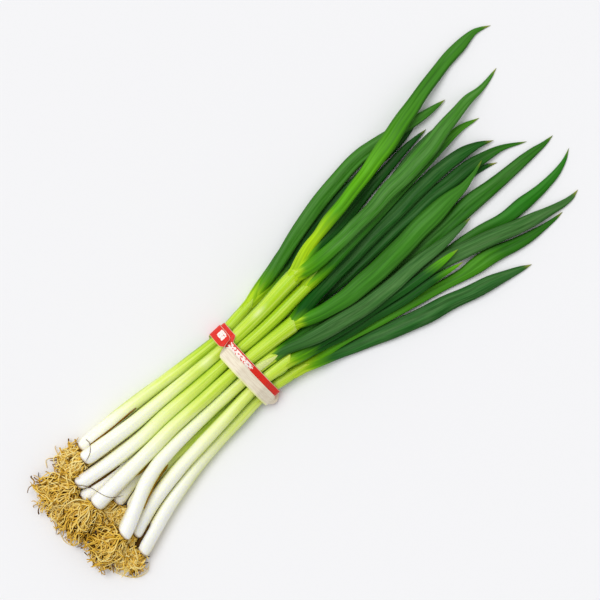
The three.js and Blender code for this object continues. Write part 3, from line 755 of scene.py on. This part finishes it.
def shaft_skin(shaft, onion, rng, offset):
    """The wrapped stem, from its rounded butt to a slanted rim round the leaves' neck."""
    xs = evenly(shaft.start, shaft.end, RING_SPACING)
    rounding = np.clip((xs - shaft.start) / BUTT_ROUNDING, 0, 1)
    scale = mix(0.6, 1, np.sqrt(1 - (1 - rounding) ** 2))
    all_x = np.concatenate([shaft.start - BUTT_PLACES, xs, shaft.end + RIM_PLACES])
    all_scale = np.concatenate([BUTT_SCALES, scale, RIM_SCALES])
    angle = round_angles(SHAFT_SIDES)
    across, up = np.cos(angle), np.sin(angle)
    on_path = np.clip(all_x, shaft.start, shaft.end)
    ridges = sum(np.cos(k * angle + rng.uniform(0, 6.28)) * rng.uniform(0.3, 1) for k in RIDGES)
    waver = 1 + SHAFT_WAVER * waves(all_x, rng, 3, 60, 18)
    not_held = np.maximum(ease(2, 12, all_x), ease(-10, -30, all_x) * ease(-120, -95, all_x))
    fading = ease(shaft.end + 2, shaft.end - RIM_REACH, all_x)
    swollen = SKIN_PROUD + onion["swell"] * fading * not_held
    radius = ((shaft.wide(on_path) * waver + swollen) * all_scale)[:, None]
    radius = radius * (1 + SHAFT_WAVER * ridges)
    slant, lean, pale_rim = onion["rim"]
    near_rim = ease(shaft.end - RIM_REACH, shaft.end, all_x)[:, None]
    x = all_x[:, None] + slant * near_rim * np.cos(angle - lean)
    y = shaft.y(on_path)[:, None] + radius * across
    z = shaft.z(all_x)[:, None] + radius * up
    pale = pale_rim * ease(shaft.end - 2.2, shaft.end - 0.6, all_x)[:, None]
    # Painted highlights: pale spots on the top of the shaft.
    for place, side, half_length, half_width, strength in onion["marks"]:
        far = ((x - place) / half_length) ** 2 + ((radius * across - side) / half_width) ** 2
        pale = np.maximum(pale, strength * np.exp(-far) * (up > 0))
    # Below this level the shaft's sides take the flank colour: partly their own greener tint,
    # partly painted shade in the seams between the shafts.
    flank_from = 0.8 + 0.2 * waves(all_x, rng, 2, 90, 40)[:, None] * across
    skin = Skin()
    skin.add(stacked(x, y, z), {
        "flow": stacked(x, HELD_RADIUS * angle, offset),
        "ripe": ripeness_at(x, onion),
        "flank": ease(flank_from, flank_from - 0.9, up),
        "pale": pale,
        # Brown at the butt end.
        "soil": 0.8 * ease(shaft.start + 1.6, shaft.start - 0.4, all_x)[:, None],
    })
    return skin


def add_flap(skin, shaft, points, offset):
    """A thin pointed sheath end that lies on the shaft, through points [x, angle, half angle]."""
    path = Curve(points)
    xs = evenly(points[0][0], points[-1][0], 0.8)[:, None]
    across = np.linspace(1, -1, 11)
    angle = path.at(xs) + path.at(xs, 1) * np.concatenate([across, across[::-1]])
    outside = 0.45 * (1 - across**8) + 0.12
    thickness = np.concatenate([outside, np.full_like(outside, -0.6)])
    on_path = np.clip(xs, shaft.start, shaft.end)
    radius = shaft.wide(on_path) + thickness
    y = shaft.y(on_path) + radius * np.cos(angle)
    z = shaft.z(xs) + radius * np.sin(angle)
    skin.add(stacked(xs, y, z), {
        "flow": stacked(xs, HELD_RADIUS * angle, offset),
        "ripe": 0.5,
        "flank": 0.0,
        "pale": 0.25,
        "soil": 0.0,
    })


def ripeness_at(x, onion):
    """How green the shaft is at x, from 0 at the butt to 1 past the collar."""
    places, usual = zip(*RIPENESS)
    own = onion["ripeness"] * (ease(-110, -40, x) - 0.5 * ease(-10, 20, x))
    return np.clip(np.interp(x, places, usual) + own, 0, 1)


def colors_between(stops, place):
    """The linear colour at each place, from stops of (place, sRGB colour)."""
    places = [stop for stop, _ in stops]
    colors = linear([color for _, color in stops])
    return np.stack([np.interp(place, places, colors[:, k]) for k in range(3)], axis=-1)


def leaf_colors(leaf, onion, xs, flat, rng):
    """A leaf's colours: its greens, with painted shade at the edges, a painted sheen along a line
    on top, and a dry tip.
    """
    x = xs[:, None]
    angle = round_angles(LEAF_SIDES)
    across, up = np.cos(angle), np.sin(angle)
    streaks = np.convolve(np.tile(rng.normal(0, 3.5, LEAF_SIDES), 3), [0.3, 0.4, 0.3], "same")
    wedge = rng.uniform(2, 6) * np.cos(angle - rng.uniform(0, 2 * math.pi))
    shifted = x + wedge + streaks[LEAF_SIDES:2 * LEAF_SIDES]
    color = colors_between([(place, GREENS[name]) for place, name in leaf.greens], shifted)
    sheath = colors_between(SHAFT_COLORS, ripeness_at(x, onion))
    emerging = leaf.greens[0][0]
    color = mix(sheath, color, ease(emerging, emerging + 7, shifted)[:, :, None])
    # Painted shade: darker towards the edges of the flattened leaf.
    color = color * (1 - 0.5 * np.abs(across)[:, None] ** 5 * flat[:, :, None])
    # Painted sheen: a pale waxy-green stripe along the top, wavering in place and strength.
    sheen_line = rng.uniform(-0.4, 0.4) + 0.1 * waves(xs, rng, 2, 200, 90)[:, None]
    strength = 0.55 * leaf.wax_and_sheen * (0.75 + 0.35 * waves(xs, rng, 2, 80, 30)[:, None]) * flat
    shine = strength * np.exp(-(((across - sheen_line) / 0.24) ** 2)) * (up > 0)
    color = mix(color, linear(WAX_AND_SHEEN), shine[:, :, None])
    dry = ease(leaf.end - TIP_LENGTH, leaf.end - 0.5, xs)[:, None, None]
    return mix(color, linear(DRY_TIP), dry * rng.uniform(0.4, 0.9))


def add_leaf(skin, leaf, shaft, onion, order, rng, offset):
    """One hollow leaf: round at the neck, flattened further on, creased, and pointed."""
    xs = evenly(leaf.start - NECK_DEPTH, leaf.end, RING_SPACING)
    on_path = np.clip(xs, leaf.start, leaf.end)
    neck = ease(leaf.start + 30, leaf.start + 6, xs)
    neck_radius = shaft.collar + NECK_PROUD - NECK_PROUD * order
    neck_radius = neck_radius * mix(0.92, 1, (xs - leaf.start + NECK_DEPTH) / NECK_DEPTH)
    tip = np.sqrt(np.clip((leaf.end - xs) / TIP_ROUNDING, 0.002, 1))
    wide = mix(leaf.wide(on_path), neck_radius, neck) * tip
    high = np.maximum(mix(leaf.high(on_path), neck_radius * 0.97, neck) * tip, 0.12)
    angle = round_angles(LEAF_SIDES)
    across, up = np.cos(angle), np.sin(angle)
    flat = ease(leaf.start + 10, leaf.start + 45, xs)[:, None] * np.clip(wide / 3, 0, 1)[:, None]
    y = np.sign(across) * np.abs(across) ** 0.92
    z = np.sign(up) * np.abs(up) ** 0.9
    for _ in range(CREASES):
        middle = rng.uniform(-0.55, 0.55) + 0.2 * waves(xs, rng, 2, 160, 60)[:, None]
        depth = rng.uniform(0.1, 0.4) * (0.6 + 0.4 * waves(xs, rng, 2, 90, 30)[:, None])
        narrow = rng.uniform(0.1, 0.25)
        z = z - flat * depth * np.exp(-(((across - middle) / narrow) ** 2)) * up
    sway = 0.25 * waves(xs, rng, 3, 70, 25) * flat[:, 0]
    before = xs < leaf.start
    middle_y = np.where(before, shaft.y(xs), leaf.y(on_path)) + sway
    middle_z = np.where(before, shaft.z(xs), leaf.z(on_path))
    points_y = middle_y[:, None] + wide[:, None] * y
    points_z = middle_z[:, None] + high[:, None] * z
    skin.add(stacked(xs[:, None], points_y, points_z), {
        "flow": stacked(xs[:, None], 6 * angle, offset),
        "green": leaf_colors(leaf, onion, xs, flat, rng),
        "bloom": 0.5 * leaf.wax_and_sheen * flat,
    })


# Roots


def add_rootlets(skin, paths, radii, tones):
    """Adds a thin tapering tube along each path."""
    ahead = unit(np.gradient(paths, axis=1))
    side = unit(np.cross([0.0, 0.0, 1.0], ahead))
    up = np.cross(ahead, side)
    steps = paths.shape[1]
    taper = np.linspace(1, 0.6, steps)
    taper[-1] = 0.25
    angle = round_angles(ROOTLET_SIDES)
    for k, path in enumerate(paths):
        radius = (radii[k] * taper)[:, None, None]
        ring = side[k][:, None] * np.cos(angle)[:, None] + up[k][:, None] * np.sin(angle)[:, None]
        skin.add(path[:, None] + radius * ring, {
            "flow": stacked(np.arange(steps)[:, None] * 1.7, angle * radii[k], 3.1 * k),
            "tone": tones[k][:, None],
        })


def clear_of(shaft, paths):
    """Which paths stay out of the shaft."""
    x = np.clip(paths[:, :, 0], shaft.start, shaft.end).ravel()
    away = np.hypot(paths[:, :, 1].ravel() - shaft.y(x), paths[:, :, 2].ravel() - shaft.z(x))
    inside = (x > shaft.start + 1) & (x < shaft.end) & (away < shaft.wide(x) + 0.3)
    return ~np.any(inside.reshape(paths.shape[:2]), axis=1)


def scattered(butt, axis, reach, width, share, count, rng):
    """Random places in a share of a beard, a rounded block seen from above and low at its edges."""
    place = rng.uniform(-1, 1, (count, 2))
    out = np.sum(np.abs(place) ** 3, axis=1) ** (1 / 3)
    place = place * (share * rng.uniform(0.94, 1.06, count) / np.maximum(out, 1))[:, None]
    point = butt + (0.52 + 0.5 * place[:, :1]) * reach * axis + place[:, 1:] * width * beside(axis)
    height = 0.1 + 0.9 * rng.uniform(0, 1, count) ** 0.6
    point[:, 2] = height * (0.85 * butt[2] + 3.5) * (1 - 0.4 * np.minimum(out, 1) ** 3)
    return point


def rootlet_paths(butt, end, radius, width, shafts, rng):
    """Crinkled paths [rootlet, step, xyz] through the beard, some of them from the root plate."""
    count = ROOTLETS + TANGLED
    axis = end - butt
    reach = np.linalg.norm(axis)
    axis = axis / reach
    tangled = np.arange(count)[:, None] >= ROOTLETS
    spread = rng.normal(0, 0.36, (count, 3)) * np.array([0, 1, 1])
    start = butt + 0.5 * axis + np.clip(spread, -0.6, 0.6) * radius
    target = scattered(butt, axis, reach, width, 1, count, rng)
    heading = unit(0.8 * axis + rng.normal(0, 1, (count, 3)) * np.array([1, 1, 0.15]))
    half = 0.5 * heading * rng.uniform(*TANGLE_LENGTHS, count)[:, None]
    middle = scattered(butt, axis, reach, width, 0.8, count, rng)
    start = np.where(tangled, middle - half, start)
    target = np.where(tangled, middle + half, target)
    length = np.linalg.norm(target - start, axis=1)[:, None]
    t = np.linspace(0, 1, ROOTLET_STEPS)
    path = start[:, None] + (target - start)[:, None] * t[:, None]
    bow = rng.normal(0, 0.14, (count, 3)) * np.array([1, 1, 0.4]) * length
    path = path + bow[:, None] * np.sin(math.pi * t)[:, None]
    for _ in range(3):
        turns = length / rng.uniform(*CRINKLES, (count, 1))
        swing = np.sin(2 * math.pi * (turns * t + rng.uniform(0, 1, (count, 1))))
        swing = swing * np.minimum(1, 5 * t)
        push = rng.normal(0, 0.65, (count, 3)) * np.array([1, 1, 0.6])
        path = path + push[:, None] * swing[:, :, None]
    floor = 0.6 + 2 * rng.uniform(0, 1, (count, 1)) ** 2
    path[:, :, 2] = np.maximum(path[:, :, 2], floor)
    return path[np.all([clear_of(shaft, path) for shaft in shafts], axis=0)]


def add_shade_core(skin, butt, end, radius, width, rng):
    """A dark lumpy form that the outer rootlets lie over: painted shade for the inside of the
    beard.
    """
    along = np.sin(np.linspace(0, math.pi / 2, CORE_RINGS))
    axis = end - butt
    middle = butt + along[:, None] * 0.9 * axis
    middle[:, 2] = mix(butt[2], end[2], along * 2.5)
    closing = np.sqrt(np.clip(1.001 - np.clip(2 * along - 1, 0, 1) ** 3, 0, 1))
    wide = mix(radius * 0.6, width * 0.8, ease(0, 0.5, along)) * closing
    high = np.minimum(mix(radius * 0.6, 0.4 * butt[2], ease(0, 0.4, along)), middle[:, 2] - 0.4)
    high = high * closing
    angle = round_angles(CORE_SIDES)
    lumps = 1 + 0.1 * rng.normal(0, 1, (CORE_RINGS, CORE_SIDES))
    rings = (middle[:, None] + (wide[:, None] * lumps * np.cos(angle))[:, :, None] * beside(axis)
             + (high[:, None] * np.sin(angle))[:, :, None] * np.array([0, 0, 1.0]))
    skin.add(rings, {
        "flow": stacked(along[:, None] * 30, 3 * angle, rng.uniform(0, 90)),
        "tone": rng.uniform(0.0, 0.16, (CORE_RINGS, CORE_SIDES)),
    })


def roots_skin(shaft, onion, shafts, seed):
    rng = np.random.default_rng(seed)
    butt = np.array([shaft.start, shaft.y(shaft.start), shaft.z(shaft.start)], float)
    end = np.array([*onion["beard"], BEARD_SINKS_TO * butt[2]])
    radius = float(shaft.wide(shaft.start + BUTT_ROUNDING))
    paths = rootlet_paths(butt, end, radius, onion["beard_width"], shafts, rng)
    count = len(paths)
    # Painted shade: rootlets are darker the lower they lie in the beard, and along the first part
    # of each.
    depth = np.clip(0.7 - paths[:, :, 2] / butt[2], -0.5, 0.4)
    shaded = 0.4 * ease(0.3, 0, np.linspace(0, 1, ROOTLET_STEPS))
    tones = rng.normal(0.6, 0.17, count)[:, None] - 0.7 * depth - shaded
    skin = Skin()
    add_shade_core(skin, butt, end, radius, onion["beard_width"], rng)
    add_rootlets(skin, paths, rng.uniform(*ROOT_RADII, count), np.clip(tones, 0.08, 0.95))
    return skin


def course(points, spacing, shafts):
    """Places x, y along a smooth line through the points, and how high the shafts reach there."""
    line = Curve([[i, *point] for i, point in enumerate(points)])
    t = evenly(0, len(points) - 1, spacing)
    x, y = line.at(t), line.at(t, 1)
    return x, y, np.array([top_height(px, py, shafts) for px, py in zip(x, y)])


def add_strand(skin, x, y, z, radius, tone):
    add_rootlets(skin, stacked(x, y, z)[None], [radius], np.full((1, len(x)), tone))


def add_shade_husks(skin, shafts):
    """Dry-skin strips in the gaps between the shafts, their dark tones partly painted shade for the
    seams.
    """
    for points, radius, tone, highest in SHADE_HUSKS:
        x, y, top = course(points, 0.25, shafts)
        add_strand(skin, x, y, np.clip(top, SHADE_HUSK_HEIGHT, highest), radius, tone)


def add_strays(skin, shafts):
    """Loose rootlets that lie over the shafts and on the table round the beards."""
    for points, radius, tone, lift in STRAYS:
        x, y, top = course(points, 0.125, shafts)
        z = np.maximum(top, lift) + radius
        for _ in range(12):
            padded = np.pad(z, 1, "edge")
            z = np.maximum(z, (padded[:-2] + padded[2:]) / 2)
        z = np.convolve(np.pad(z, 1, "edge"), [0.25, 0.5, 0.25], "valid") + 0.3
        add_strand(skin, x, y, z, radius, tone)


# Rubber band


def convex_outline(points):
    """The corners of the smallest convex outline round the points, anticlockwise."""
    ordered = sorted(map(tuple, points))

    def chain(source):
        kept = []
        for p in source:
            while len(kept) > 1:
                o, q = kept[-2], kept[-1]
                if (q[0] - o[0]) * (p[1] - o[1]) - (q[1] - o[1]) * (p[0] - o[0]) > 0:
                    break
                kept.pop()
            kept.append(p)
        return kept[:-1]

    return np.array(chain(ordered) + chain(ordered[::-1]))


def band_outline(shafts):
    """The band's inner outline in Y and Z, as points, outward directions and distances along it."""
    around = []
    angle = 2 * math.pi * np.arange(96) / 96
    for shaft in shafts:
        for x in (BAND_FROM, 0, BAND_TO):
            radius = float(shaft.wide(x)) + 0.1
            y = float(shaft.y(x)) + radius * np.cos(angle)
            z = np.maximum(float(shaft.z(x)) + radius * np.sin(angle), BAND_TURNS * BAND_THICKNESS)
            around.append(stacked(y, z))
    corners = convex_outline(np.concatenate(around))
    closed = np.concatenate([corners, corners[:1]])
    lengths = np.concatenate([[0], np.cumsum(np.linalg.norm(np.diff(closed, axis=0), axis=1))])
    places = np.linspace(0, lengths[-1], BAND_STEPS, endpoint=False)
    points = stacked(*(np.interp(places, lengths, closed[:, k]) for k in (0, 1)))
    ahead = unit(np.roll(points, -1, axis=0) - np.roll(points, 1, axis=0))
    return points, stacked(ahead[:, 1], -ahead[:, 0]), places


def band_section(count=22):
    """A flat strip's rounded outline, as places across (-1 to 1) and through (0 to 1)."""
    across = np.linspace(1, -1, count)
    rounded = 0.5 + 0.5 * (1 - np.abs(across) ** 16)
    return np.concatenate([stacked(across, rounded), stacked(across[::-1], 1 - rounded[::-1])])


def band_piece(shafts, look):
    """The band's two turns. The upper one is turned inside out by a half twist on top."""
    outline, outward, places = band_outline(shafts)
    rng = np.random.default_rng(BAND_SEED)
    y, z = outline[:, 0], outline[:, 1]
    on_top = ease(z.min() + 0.6, z.min() + 5, z)
    past_twist = ease(TWIST_Y - 1.5, TWIST_Y + 1.5, y)
    section = band_section()
    across, printed = section[:, 0], (section[:, 1] > 0.5).astype(float)
    skin = Skin()

    def add_turn(below, right, left, lift, twist, pinch, share, phase):
        low, high = (mix(below[k], mix(right[k], left[k], past_twist), on_top) for k in (0, 1))
        half = (high - low) / 2
        tilt = twist[:, None]
        flat = across * (half * pinch)[:, None]
        through = (section[:, 1] - 0.5) * BAND_THICKNESS
        x = ((low + high) / 2)[:, None] + flat * np.cos(tilt) - through * np.sin(tilt)
        raised = lift + BAND_THICKNESS / 2 + np.abs(np.sin(twist)) * half * pinch * 0.75
        out = flat * np.sin(tilt) + through * np.cos(tilt) + raised[:, None]
        points_y = y[:, None] + out * outward[:, :1]
        points_z = z[:, None] + out * outward[:, 1:]
        skin.add(stacked(x, points_y, points_z), {
            "flow": stacked(x, places[:, None], phase),
            "cream": 1 - printed,
            "print": share(x, y[:, None], on_top[:, None]),
            "rim": ease(1.3, 0.5, x - low[:, None]),
        }, loop=True)

    def under_print(x, y, top):
        blocks = 0.62 * (np.abs(across) < 0.6) * ((places[:, None] % BLOCK_SPACING) < 13)
        strip = 0.6 * ease(-10, -3, y) * ease(TWIST_Y + 1, TWIST_Y - 1, y) * (across < 0.8)
        return mix(blocks, strip, top)

    def over_print(x, y, top):
        blocks = 0.62 * (np.abs(across) < 0.6) * ((places[:, None] % BLOCK_SPACING) > 11)
        label = 0.66 * ease(19.2, 19.8, y) * ease(25.4, 24.8, y)
        label = label * ease(-0.8, -0.2, x) * ease(5.0, 4.4, x)
        return mix(blocks, label, top)

    flat = np.zeros_like(y)
    wrinkle = 0.08 * waves(places, rng, 4, 30, 6)
    add_turn(*UNDER_TURN, flat + wrinkle, flat, flat + 1, under_print, 0)
    turn_back = z.min() + TURN_BACK_HEIGHT
    twist = math.pi * ease(TWIST_Y + TWIST_REACH, TWIST_Y - TWIST_REACH, y)
    twist = twist * ease(turn_back - 1.6, turn_back + 1.6, z)
    from_top = np.abs(y - TWIST_Y) + 100 * (z < turn_back + 3)
    from_side = np.abs(z - turn_back) + 100 * (y > 0)
    pinch = 1 - 0.62 * np.exp(-((np.minimum(from_top, from_side) / 1.6) ** 2))
    add_turn(*OVER_TURN, flat + OVER_LIFT + wrinkle, twist, pinch, over_print, 40)
    skin.piece("spring_band", look, ["rubber_band"], "band")


# Scene


def place_camera():
    data = bpy.data.cameras.new("camera")
    camera = placed("camera", data)
    x, y = VIEW_MIDDLE
    camera.location = (x * MM, y * MM, (VIEW_DISTANCE + VIEW_HEIGHT) * MM)
    camera.rotation_euler = (0, 0, math.radians(VIEW_TURN))
    data.sensor_width = 36
    data.lens = data.sensor_width * VIEW_DISTANCE / VIEW_WIDTH
    data.clip_end = 20
    bpy.context.scene.camera = camera


def set_light():
    scene = bpy.context.scene
    scene.view_settings.view_transform = "Standard"
    scene.view_settings.look = "None"
    world = bpy.data.worlds.new("world")
    world.use_nodes = True
    background = world.node_tree.nodes["Background"]
    background.inputs["Color"].default_value = (1, 1, 1, 1)
    background.inputs["Strength"].default_value = SKY_STRENGTH
    scene.world = world
    data = bpy.data.lights.new("key", "SUN")
    data.angle = math.radians(SUN_SPREAD)
    data.energy = SUN_STRENGTH
    light = placed("key", data)
    light.location = SUN_DIRECTION
    light.rotation_euler = light.location.to_track_quat("Z", "Y").to_euler()


def lay_table():
    n = Nodes("table")
    n.shade(Base_Color=(246, 246, 248), Roughness=0.9)
    mesh = bpy.data.meshes.new("table")
    square = ((-1, -1), (1, -1), (1, 1), (-1, 1))
    corners = [(x * TABLE_HALF, y * TABLE_HALF, 0) for x, y in square]
    mesh.from_pydata(corners, [], [(0, 1, 2, 3)])
    mesh.materials.append(n.material)
    table = placed("table", mesh)
    table.location.z = -TABLE_DROP


def build():
    laid = []
    plants = []
    for own in ONIONS:
        onion = {**USUAL, **own}
        shaft = Shaft(onion)
        leaves = [Leaf(*leaf) for leaf in onion["leaves"]]
        lay_onion(shaft, leaves, laid)
        plants.append((onion, shaft, leaves))
    shafts = [shaft for _, shaft, _ in plants]
    shaft_look, leaf_look, root_look = shaft_material(), leaf_material(), root_material()
    for i, (onion, shaft, leaves) in enumerate(plants):
        number = f"{i + 1:02d}"
        rng = np.random.default_rng(SKIN_SEED + i)
        stem = shaft_skin(shaft, onion, rng, 17.0 * i)
        for flap in onion["flaps"]:
            add_flap(stem, shaft, flap, 17.0 * i + 5)
        stem.piece(f"spring_shaft_{number}", shaft_look, [f"shaft_{number}"], "shaft")
        greens = Skin()
        for k, leaf in enumerate(leaves):
            add_leaf(greens, leaf, shaft, onion, k, rng, 13.0 * i + 5.0 * k)
        greens.piece(f"spring_leaves_{number}", leaf_look, [f"leaves_{number}"], "leaf")
        roots = roots_skin(shaft, onion, shafts, ROOT_SEED + i)
        if i == STRAYS_WITH:
            add_strays(roots, shafts)
            add_shade_husks(roots, shafts)
        roots.piece(f"spring_roots_{number}", root_look, [f"roots_{number}"], "root")
    band_piece(shafts, band_material())


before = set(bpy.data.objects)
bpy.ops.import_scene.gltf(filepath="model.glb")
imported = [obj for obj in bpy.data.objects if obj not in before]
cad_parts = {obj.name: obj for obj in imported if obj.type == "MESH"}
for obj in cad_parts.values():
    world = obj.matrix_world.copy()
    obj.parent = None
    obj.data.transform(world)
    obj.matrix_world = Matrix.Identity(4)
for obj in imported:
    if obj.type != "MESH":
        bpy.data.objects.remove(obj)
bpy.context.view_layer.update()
place_camera()
set_light()
lay_table()
build()
